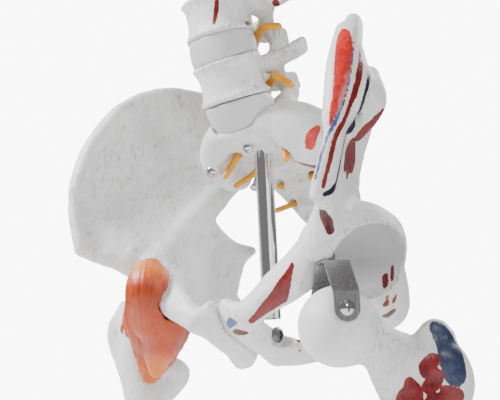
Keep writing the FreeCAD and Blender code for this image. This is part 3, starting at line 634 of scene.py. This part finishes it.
def soft_plastic(name, colour, tint, roughness, scale, wax):
    """Soft coloured plastic or rubber with faint cloudy tone and a skin that isn't quite flat."""
    material, tree, shader = new_material(name)
    place = put(tree, "ShaderNodeTexCoord").outputs["Object"]
    tone = ramp(tree, noise(tree, place, scale, 4.0), [(0.32, colour), (0.68, tint)])
    fine = noise(tree, place, scale * 6)
    bump = put(tree, "ShaderNodeBump", {"Height": fine, "Strength": 0.12, "Distance": 0.0004})
    feed(tree, shader, {"Base Color": tone, "Normal": bump.outputs[0],
                        "Roughness": remap(tree, fine, 0.0, 1.0, roughness - 0.07, roughness + 0.07),
                        "Subsurface Weight": wax, "Subsurface Radius": (0.006, 0.003, 0.0015),
                        "Subsurface Scale": 1.0})
    return material


disc_rubber = soft_plastic("Grey disc rubber", (0.56, 0.56, 0.555), (0.62, 0.62, 0.615), 0.48, 60.0, 0.0)
nerve_plastic = soft_plastic("Yellow nerve plastic", (0.70, 0.27, 0.008), (0.80, 0.38, 0.015), 0.36,
                             140.0, 0.15)
cord_plastic = soft_plastic("Pale yellow cord plastic", (0.80, 0.62, 0.26), (0.85, 0.70, 0.36), 0.42,
                            120.0, 0.1)
core_plastic = soft_plastic("Black cable cover", (0.02, 0.02, 0.021), (0.035, 0.035, 0.036), 0.42,
                            200.0, 0.0)
points, faces = pad.skin()
piece("pubic_pad_moulded", points, faces, disc_rubber, "pelvis", ["pubic_symphysis"])

# ---------------------------------------------------------------- vertebrae and discs
# The two lowest lumbar vertebrae are castings threaded on a flexible core, with grey rubber discs
# between them. Each disc sits between the end plates of the bones below and above it.


BODY_DEPTH = 17.5


def vertebra(scale):
    """A lumbar vertebra about its body's centre, +Z along the spine and +Y to its back."""
    clay = Clay((-58, -26, -34), (58, 76, 32))
    w, d, h = 26 * scale, BODY_DEPTH, 13.5
    X, Y, Z = np.meshgrid(*clay.axes, indexing="ij")
    waist = 1 - 0.085 * np.clip(1 - (Z / 11.0)**2, 0, 1)
    hollow = np.where(Y > 0, 1.0 + 0.16 * np.exp(-(X / 11)**2) * (Y / d), 1.0)
    side = (np.sqrt((X / (w * waist))**2 + (Y * hollow / (d * waist))**2) - 1) * 17
    body = np.maximum(side, np.abs(Z) - h)
    lips = 0.9 * np.exp(-((np.abs(Z) - 11.8) / 1.6)**2)
    clay.field = np.clip(body - lips, -clay.reach, clay.reach).astype(np.float32)
    for s in (-1, 1):
        clay.strand([(s * 15, 12, 5, 6), (s * 16, 21, 4.5, 5.5), (s * 16, 27, 3, 5)], 3)
        clay.strand([(s * 16, 27, 3, 4.6), (s * 11, 34, -3, 4.4), (s * 2, 40, -5, 4.6)], 4)
        clay.sheet([[(s * 18, 22, 7, 4.4), (s * 32, 25, 9.5, 2.8), (s * 46, 26, 12, 3.0)],
                    [(s * 18, 24, 2, 4.0), (s * 32, 26, 4, 2.8), (s * 45, 27, 6, 3.2)]], 4)
        clay.sheet([[(s * 18, 26, 4, 4.4), (s * 20, 27, 12, 3.6), (s * 20.5, 26.5, 17, 2.8)],
                    [(s * 17, 31, 2, 4.0), (s * 21, 33, 10, 3.4), (s * 22, 33, 15, 3)]], 3)
        clay.sheet([[(s * 13, 34, -2, 4.2), (s * 11.5, 37, -11, 3.6), (s * 11, 38, -16, 3.2)],
                    [(s * 9, 37, -4, 4.0), (s * 7.5, 40, -10, 3.2), (s * 8, 40, -14, 3)]], 3)
    clay.sheet([[(0, 40, -2, 4.6), (0, 51, -3, 2.8), (0, 62, -5, 3.4)],
                [(0, 42, -10, 3.6), (0, 53, -12, 2.8), (0, 62, -13, 3.6)]], 4)
    clay.soften()
    clay.weather(0.25)
    flat_ended = np.maximum(clay.field, (np.abs(Z) - h).astype(np.float32))
    clay.field = np.where(np.hypot(X / w, Y / d) < 1.02, flat_ended, clay.field)
    return clay


def leaned(points, y, z, lean):
    """Points of a vertebra carried to where it stands, tipped forward by lean degrees."""
    c, s = math.cos(math.radians(lean)), math.sin(math.radians(lean))
    return points @ np.array([[1, 0, 0], [0, c, s], [0, -s, c]]) + (0, y, z)


LUMBAR = {"lumbar_5": (1.0, -27.5, 156.5, 18), "lumbar_4": (0.99, -37.0, 197.5, 8)}
LUMBAR_PAINT = {
    "lumbar_5": [],
    "lumbar_4": [
        (RED, (0.4, -0.91, -0.11),
         [(14.4, -50.3, 201.5, 1.7), (12.9, -50.2, 195.2, 1.8), (10.9, -50.4, 188.3, 1.5)]),
        (PALE_RED, (-0.47, -0.85, -0.22),
         [(-10.8, -52.3, 201.9, 0.8), (-17.6, -47.5, 196.7, 0.9), (-18.5, -46.5, 189, 0.7)]),
        (RED, (0.9, 0.06, 0.43), [(26.4, -36.0, 186.2, 2.0), (25.1, -32.0, 188.2, 1.6)]),
        (RED, (0.23, -0.78, -0.58), [(32.0, -13.8, 203.9, 2.8)]),
    ],
}
for name, (scale, y, z, lean) in LUMBAR.items():
    clay = vertebra(scale)
    local, faces = clay.skin()
    points = leaned(local, y, z, lean)
    values = painted_values(points, faces, LUMBAR_PAINT[name])
    values["grit"] = 0.2 + 0.6 * clay.read(local, clay.creases())
    values["grit"][np.abs(local[:, 2]) < 11] += 0.12
    piece(f"{name}_cast", points, faces, painted_bone, name, [f"{name}_vertebra"], values)


AROUND = 72


def disc(name, below, above, node):
    """A disc between two end plates, each given as y, z, lean and half width."""
    rings = []
    for k in range(13):
        f = k / 12
        y, z, lean, half = [a * (1 - f) + b * f for a, b in zip(below, above)]
        swell = 0.955 + 0.05 * math.sin(math.pi * f)**0.6
        c, s = math.cos(math.radians(lean)), math.sin(math.radians(lean))
        for i in range(AROUND):
            turn = i * 2 * math.pi / AROUND
            u, v = half * swell * math.cos(turn), BODY_DEPTH * swell * math.sin(turn)
            rings.append((u, y + v * c, z + v * s))
    faces = []
    for ring in range(0, 12 * AROUND, AROUND):
        for i in range(AROUND):
            j = (i + 1) % AROUND
            faces.append((ring + i, ring + j, ring + AROUND + j, ring + AROUND + i))
    for base, order in ((0, -1), (12 * AROUND, 1)):
        for i in range(1, AROUND // 2):
            quad = (base + i - 1, base + i, base + AROUND - 1 - i, base + (AROUND - i) % AROUND)
            faces.append(quad[::order])
    made = piece(name, np.array(rings), np.array(faces), disc_rubber, None, [node])
    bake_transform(made)


disc("lumbosacral_disc_rubber", (-15, 133.1, 43.8, 26), (-23.2, 142.9, 18, 26), "lumbosacral_disc")
disc("lumbar_disc_rubber", (-31.7, 169.5, 18, 26), (-35.1, 184.0, 8, 25.8), "disc_lumbar_4_5")

# ---------------------------------------------------------------- cord, core and nerves
# A soft yellow cord runs down the canal and its roots leave as short yellow stubs with rounded ends.
# The black core cable that the vertebrae are threaded on can only be seen from above.


def tube(name, stations, material, body, nodes, sides=18, blend=None):
    """A round soft tube along stations of x, y, z, radius, with domed ends."""
    run = smooth_run(stations, 1.0)
    ends = []
    for index, way in ((0, -1), (-1, 1)):
        tip = run[index]
        other = run[1] if index == 0 else run[-2]
        out = (tip[:3] - other[:3]) / np.linalg.norm(tip[:3] - other[:3])
        dome = [(*(tip[:3] + out * tip[3] * math.sin(a)), tip[3] * math.cos(a))
                for a in (0.5, 0.95, 1.3, 1.55)]
        ends.append(dome[::way])
    run = np.vstack([ends[0], run, ends[1]])
    points = []
    side = np.array([1.0, 0.2, 0.1])
    for i, station in enumerate(run):
        along = run[min(i + 1, len(run) - 1), :3] - run[max(i - 1, 0), :3]
        along /= np.linalg.norm(along)
        side = side - along * (side @ along)
        side /= np.linalg.norm(side)
        other = np.cross(along, side)
        for k in range(sides):
            turn = 2 * math.pi * k / sides
            points.append(station[:3] + (side * math.cos(turn) + other * math.sin(turn)) * station[3])
    faces = []
    for i in range(len(run) - 1):
        for k in range(sides):
            j = (k + 1) % sides
            faces.append((i * sides + k, i * sides + j, (i + 1) * sides + j, (i + 1) * sides + k))
    made = piece(name, np.array(points), np.array(faces), material, body, nodes)
    if blend:
        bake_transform(made)


SACRAL_ROOTS = {
    "left": [[(21, -1, 122, 2.5), (25, -4.6, 117, 2.5), (28, -8, 108, 2.5), (30.5, -10.6, 100, 2.4)],
             [(17, 15, 111, 2.2), (18, 13, 107, 2.2), (19.5, 10.5, 104, 2.0)],
             [(13, 35, 99, 2.1), (14, 32, 96.5, 2.1), (15, 29, 94.5, 1.8)],
             [(12, 44, 85, 1.9), (12.5, 41.5, 82.5, 1.9), (13, 39, 80.5, 1.6)]],
    "right": [[(-20, -1, 117, 2.4), (-22, -4, 112, 2.4), (-29, -9, 99, 2.1)],
              [(-17, 13, 108, 2.2), (-19, 9, 101.5, 2.2), (-30, 2, 94, 2.0)],
              [(-9, 41, 93, 2.0), (-13, 35.8, 93.8, 2.0), (-17, 31, 94.5, 1.9)],
              [(-12, 46, 84, 2.0), (-15.5, 40, 81.5, 2.0), (-19.5, 30, 77.5, 1.9)]],
}
for hand, roots in SACRAL_ROOTS.items():
    for number, root in enumerate(roots, start=1):
        tube(f"sacral_root_{hand}_{number}", root, nerve_plastic, "pelvis",
             [f"sacral_nerves_{hand}"])
LUMBAR_ROOTS = {
    "lumbar_5": [(6, -1, 155, 2.8), (19, -6, 157, 2.8), (27, -12, 156, 2.7), (37, -9.5, 148, 2.5)],
    "lumbar_4": [(6, -10, 186, 2.8), (17, -15, 188, 2.8), (26, -19, 188, 2.7), (36, -17, 186, 2.5)],
}
for name, root in LUMBAR_ROOTS.items():
    for hand, s in (("left", 1), ("right", -1)):
        tube(f"{name}_root_{hand}", np.array(root) * (s, 1, 1, 1), nerve_plastic, name,
             [f"{name}_nerves"])
tube("cord_lower", [(0, 16, 130, 5), (0, 1, 150, 5), (0, -3.5, 165, 5)], cord_plastic, None,
     ["spinal_cord"], 24, ("pelvis", "lumbar_5", (0, 0.008, 0.134), (0, -0.004, 0.150)))
tube("cord_upper", [(0, -3.5, 165, 4.95), (0, -11, 200, 4.95), (0, -13, 217, 4.95)], cord_plastic,
     None, ["spinal_cord"], 24,
     ("lumbar_5", "lumbar_4", (0, -0.005, 0.170), (0, -0.009, 0.188)))
tube("core_cable_cover", [(0, -33.5, 184, 1.6), (0, -37, 206, 1.6), (0, -38.5, 214.5, 1.6)], core_plastic,
     "lumbar_4", ["spine_core_cable"])

# ---------------------------------------------------------------- left femur on its strap
# The left thigh bone hangs below its socket from a bent steel strap, so that the joint can be opened.
# A screw through the smooth head is its axle; blue and red muscle areas are painted on the trochanter.
for node in ("hip_swivel_bolt_left", "hip_axle_left", "hip_axle_nut_left"):
    refinish(node, plated)
refinish("hip_strap_left", strip)
femur = Clay((60, -64, -154), (158, 40, 18))
femur.strand([(94, -31, -15, 15), (103, -20, -24, 13.5), (111, -10, -33, 15.5)], 8)
femur.strand([(109, -9, -40, 16), (113, -4, -54, 18), (112, -5, -70, 16.5), (109, -7, -92, 15.2),
              (106, -8, -156, 14.5)], 8)
femur.strand([(120, 0, -36, 13), (129, 4, -34, 12), (131, 8, -46, 12), (125, 8, -62, 11),
              (116, 4, -78, 9)], 8)
femur.strand([(122, 0, -24, 8), (126, 2, -17, 7), (129, 6, -20, 6)], 6)
femur.strand([(103, 4, -56, 7), (99, 8, -64, 8), (103, 5, -74, 6)], 7)
femur.strand([(113, 12, -30, 5), (107, 13, -44, 4.5), (101, 10, -60, 4)], 6)
femur.soften()
femur.weather(0.3)
LEFT_HEAD = np.array([88, -36, -11.5])
HEAD_RADIUS = 22.9
CUT_END = -150.0
femur.add(femur.balls([(*LEFT_HEAD, HEAD_RADIUS)]), 4)
axle_middle = np.array([88, -38, -3.0])
axle_way = np.array([0.848, -0.53, 0.0])
grid = np.stack(np.meshgrid(*femur.axes, indexing="ij"), -1)
beside = (grid - axle_middle) @ axle_way
off_axle = np.linalg.norm(grid - axle_middle - beside[..., None] * axle_way, axis=-1)
femur.take((off_axle - 2.7).astype(np.float32), 0.3)
flats = np.maximum(21.7 - np.abs(beside), np.linalg.norm(grid - LEFT_HEAD, axis=-1) - 26)
flats = np.maximum(flats, 13 - np.linalg.norm(grid - (106, -20, -28), axis=-1))
femur.take(flats.astype(np.float32), 0.4)
femur.cut_below(CUT_END)
points, faces = femur.skin()
values = painted_values(points, faces, [
    (SLATE, (0.79, -0.56, 0.23),
     [(131.6, -2.0, -15.1, 4.6), (135.5, -0.3, -23.9, 6.6), (140.0, -2.0, -33.9, 7.4),
      (140.8, -1.3, -41.9, 6.2)]),
    (RED, (0.81, -0.59, -0.06),
     [(131.8, -9.3, -33.1, 4.2), (129.2, -12.6, -37.7, 4.4), (131.4, -8.0, -42.2, 5.0),
      (129.3, -11.0, -47.4, 4.6)]),
    (RED, (0.7, -0.7, -0.15),
     [(135.6, -4.2, -50.4, 3.7), (139.6, 0.0, -53.3, 4.3), (135.5, -2.9, -55.8, 5.4),
      (129.8, -9.1, -57.1, 6.3)]),
    (RED, (0.6, -0.8, -0.06),
     [(122.7, -19.7, -44.4, 3.0), (123.5, -19.1, -49.7, 5.6), (121.3, -20.1, -56.8, 8.0),
      (118.3, -20.1, -68.8, 6.0)]),
])
on_head = np.linalg.norm(points - LEFT_HEAD, axis=1) < HEAD_RADIUS + 0.5
values["grit"] = np.where(on_head, 0.0, 0.35 + 0.6 * femur.read(points, femur.creases()))
piece("femur_left_cast", points, faces, painted_bone, "femur_left", ["femur_left"], values)

# ---------------------------------------------------------------- right femur and its ligament
# The right thigh bone sits in its socket and is held by a stretchy orange ligament sleeve, glued round
# the rim of the socket above and round the neck of the thigh bone below.
thigh = Clay((-158, -64, -154), (-60, 34, 62))
thigh.strand([(-96, -12, 25, 14), (-106, -12.5, 13, 13), (-113, -14, 2, 14.5)], 8)
thigh.strand([(-114, -14, -4, 14.5), (-118, -13.5, -18, 16.5), (-118, -12, -38, 15.5),
              (-117, -12, -65, 14.8), (-112, -12, -156, 14.2)], 8)
thigh.strand([(-124, -17, 2, 11), (-134, -18, 6, 10), (-137, -17, -4, 10.5), (-133, -15, -20, 9.5),
              (-125, -13, -40, 8)], 8)
thigh.strand([(-130, -16, 12, 7.5), (-134, -15, 18, 6)], 6)
thigh.strand([(-106, -4, -26, 8), (-99, 3, -31, 7.5), (-104, -2, -42, 6)], 7)
thigh.soften()
thigh.weather(0.3)
thigh.add(thigh.balls([(-87.3, -12.8, 33, HEAD_RADIUS)]), 4)
thigh.cut_below(CUT_END)
points, faces = thigh.skin()
grit = 0.3 + 0.6 * thigh.read(points, thigh.creases())
piece("femur_right_cast", points, faces, plain_bone, "femur_right", ["femur_right"], {"grit": grit})

sleeve = Clay((-134, -66, -50), (-38, 34, 62))
sleeve.strand([(-88, -16, 28, 25.0), (-95, -15, 16, 24.5), (-98, -14, 4, 22.5), (-103, -14, -10, 17.5),
               (-107, -15, -22, 13), (-107, -18, -33, 7)], 3)
sleeve.strand([(-110, -18, 10, 15), (-117, -19, 2, 13)], 5)
sleeve.strand([(-70, -44, 36, 5), (-70, -42, 25, 10), (-61, -37, 9, 13.5), (-72, -33, -7, 13.5),
               (-84, -28, -20, 9), (-87, -27, -29, 5)], 6)
sleeve.strand([(-86, -34, 26, 12), (-96, -28, 12, 14), (-96, -24, -4, 13)], 6)
sleeve.soften()
X, Y, Z = np.meshgrid(*sleeve.axes, indexing="ij")
spots = np.stack([X.ravel(), Y.ravel(), Z.ravel()], 1)
bone_there = hip.read(spots * (-1, 1, 1)).reshape(X.shape)
glued = sleeve.balls(smooth_run([(-66, -46, 38, 8), (-68, -47, 33, 12), (-66, -46, 22, 18),
                                 (-72, -38, 8, 19)], 1.5))
sleeve.add(np.maximum(bone_there - 3.2, glued).astype(np.float32), 3)
sleeve.take((thigh.read(spots).reshape(X.shape) - 0.5).astype(np.float32), 0.4)
sleeve.take((bone_there - 0.5).astype(np.float32), 0.4)
sleeve.take(sleeve.balls([(*(HIP_CENTRE * (-1, 1, 1)), CUP_RADIUS + 0.1)]), 0.4)
fibre = np.sin((X * 0.9 + Y * 1.1) * 1.15 + 2.2 * np.sin(Z * 0.09)) * 0.22
sleeve.field = (sleeve.field + fibre).astype(np.float32)


def ligament_material():
    """Stretched translucent silicone: deep orange, paler in its fibres and towards its top and bottom ends.
    """
    material, tree, shader = new_material("Orange ligament silicone")
    place = put(tree, "ShaderNodeTexCoord").outputs["Object"]
    along = put(tree, "ShaderNodeMapping", {"Vector": place, "Rotation": (0.15, 0.25, 0.0),
                                            "Scale": (1.0, 1.0, 0.09)}).outputs[0]
    fibres = noise(tree, along, 620.0, 5.0, 0.65, 0.4)
    end_paleness = math_node(tree, "MULTIPLY", attribute(tree, "end_paleness"), 0.8)
    depth = math_node(tree, "MULTIPLY_ADD", noise(tree, place, 42.0), 0.5, end_paleness)
    depth = math_node(tree, "MULTIPLY_ADD", fibres, 0.35, depth)
    tone = ramp(tree, depth, [(0.3, (0.26, 0.022, 0.002)), (0.55, (0.54, 0.070, 0.005)),
                              (0.85, (0.72, 0.19, 0.025)), (1.0, (0.78, 0.34, 0.12))])
    bump = put(tree, "ShaderNodeBump", {"Height": fibres, "Strength": 0.5, "Distance": 0.0007})
    feed(tree, shader, {"Base Color": tone, "Roughness": remap(tree, fibres, 0.0, 1.0, 0.28, 0.5),
                        "Normal": bump.outputs[0], "Subsurface Weight": 0.35,
                        "Subsurface Radius": (0.010, 0.003, 0.001), "Subsurface Scale": 0.6})
    return material


points, faces = sleeve.skin()
# The sleeve is made paler towards its top and bottom ends, most towards the top, by height alone.
end_paleness = np.clip((points[:, 2] - 26) / 26, 0, 0.6) + np.clip((-16 - points[:, 2]) / 30, 0, 0.4)
made = piece("hip_ligament_sleeve", points, faces, ligament_material(), None,
             ["hip_ligament_right"], {"end_paleness": end_paleness})
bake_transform(made)

# ---------------------------------------------------------------- studio
# A small pale floor in even white air. Wide soft lamps hang in front on both sides and behind, and the
# camera is low in front of the model's left hip.
backdrop_paper, paper, paper_shader = new_material("White backdrop")
paper_noise = put(paper, "ShaderNodeTexNoise", {"Scale": 30.0}).outputs[0]
paper_tone = ramp(paper, paper_noise, [(0.3, (0.93, 0.93, 0.93)), (0.7, (0.95, 0.95, 0.95))])
feed(paper, paper_shader, {"Base Color": paper_tone, "Roughness": 0.9})
floor_mesh = bpy.data.meshes.new("floor")
corners = [(x, y, -0.152) for x, y in ((-0.9, -0.9), (0.9, -0.9), (0.9, 0.9), (-0.9, 0.9))]
floor_mesh.from_pydata(corners, [], [(0, 1, 2, 3)])
floor_mesh.materials.append(backdrop_paper)
floor = bpy.data.objects.new("floor", floor_mesh)
bpy.context.scene.collection.objects.link(floor)

world = bpy.data.worlds.new("Studio air")
bpy.context.scene.world = world
world.use_nodes = True
air = world.node_tree
seen = put(air, "ShaderNodeLightPath").outputs["Is Camera Ray"]
glow = math_node(air, "MULTIPLY_ADD", seen, 9.0, 0.22)
feed(air, air.nodes["Background"], {"Strength": glow, "Color": (1, 1, 1, 1)})


def lamp(name, place, aim, width, power):
    """A wide soft lamp aimed at a point."""
    light = bpy.data.lights.new(name, "AREA")
    light.size = width
    light.energy = power
    made = bpy.data.objects.new(name, light)
    bpy.context.scene.collection.objects.link(made)
    made.location = place
    made.rotation_euler = (Vector(aim) - Vector(place)).to_track_quat("-Z", "Y").to_euler()


lamp("key", (-0.75, -0.75, 0.95), (0, -0.02, 0.04), 0.35, 44.0)
lamp("fill", (1.1, -0.55, 0.75), (0.05, 0, 0.02), 0.5, 9.0)
lamp("back", (0.1, 0.9, 0.8), (0, 0, 0.05), 0.5, 12.0)

camera_data = bpy.data.cameras.new("camera")
camera = bpy.data.objects.new("camera", camera_data)
bpy.context.scene.collection.objects.link(camera)
right = Vector((0.69412, 0.71836, -0.04635)).normalized()
up = Vector((0.16041, -0.09159, 0.98279))
up = (up - right * up.dot(right)).normalized()
turn = Matrix((right, up, right.cross(up))).transposed().to_4x4()
turn.translation = Vector((0.47565, -0.48221, -0.04359))
camera.matrix_world = turn
camera_data.lens = 74.5
camera_data.sensor_width = 36.0
camera_data.clip_start = 0.05
camera_data.clip_end = 60.0
bpy.context.scene.camera = camera
bpy.context.view_layer.update()
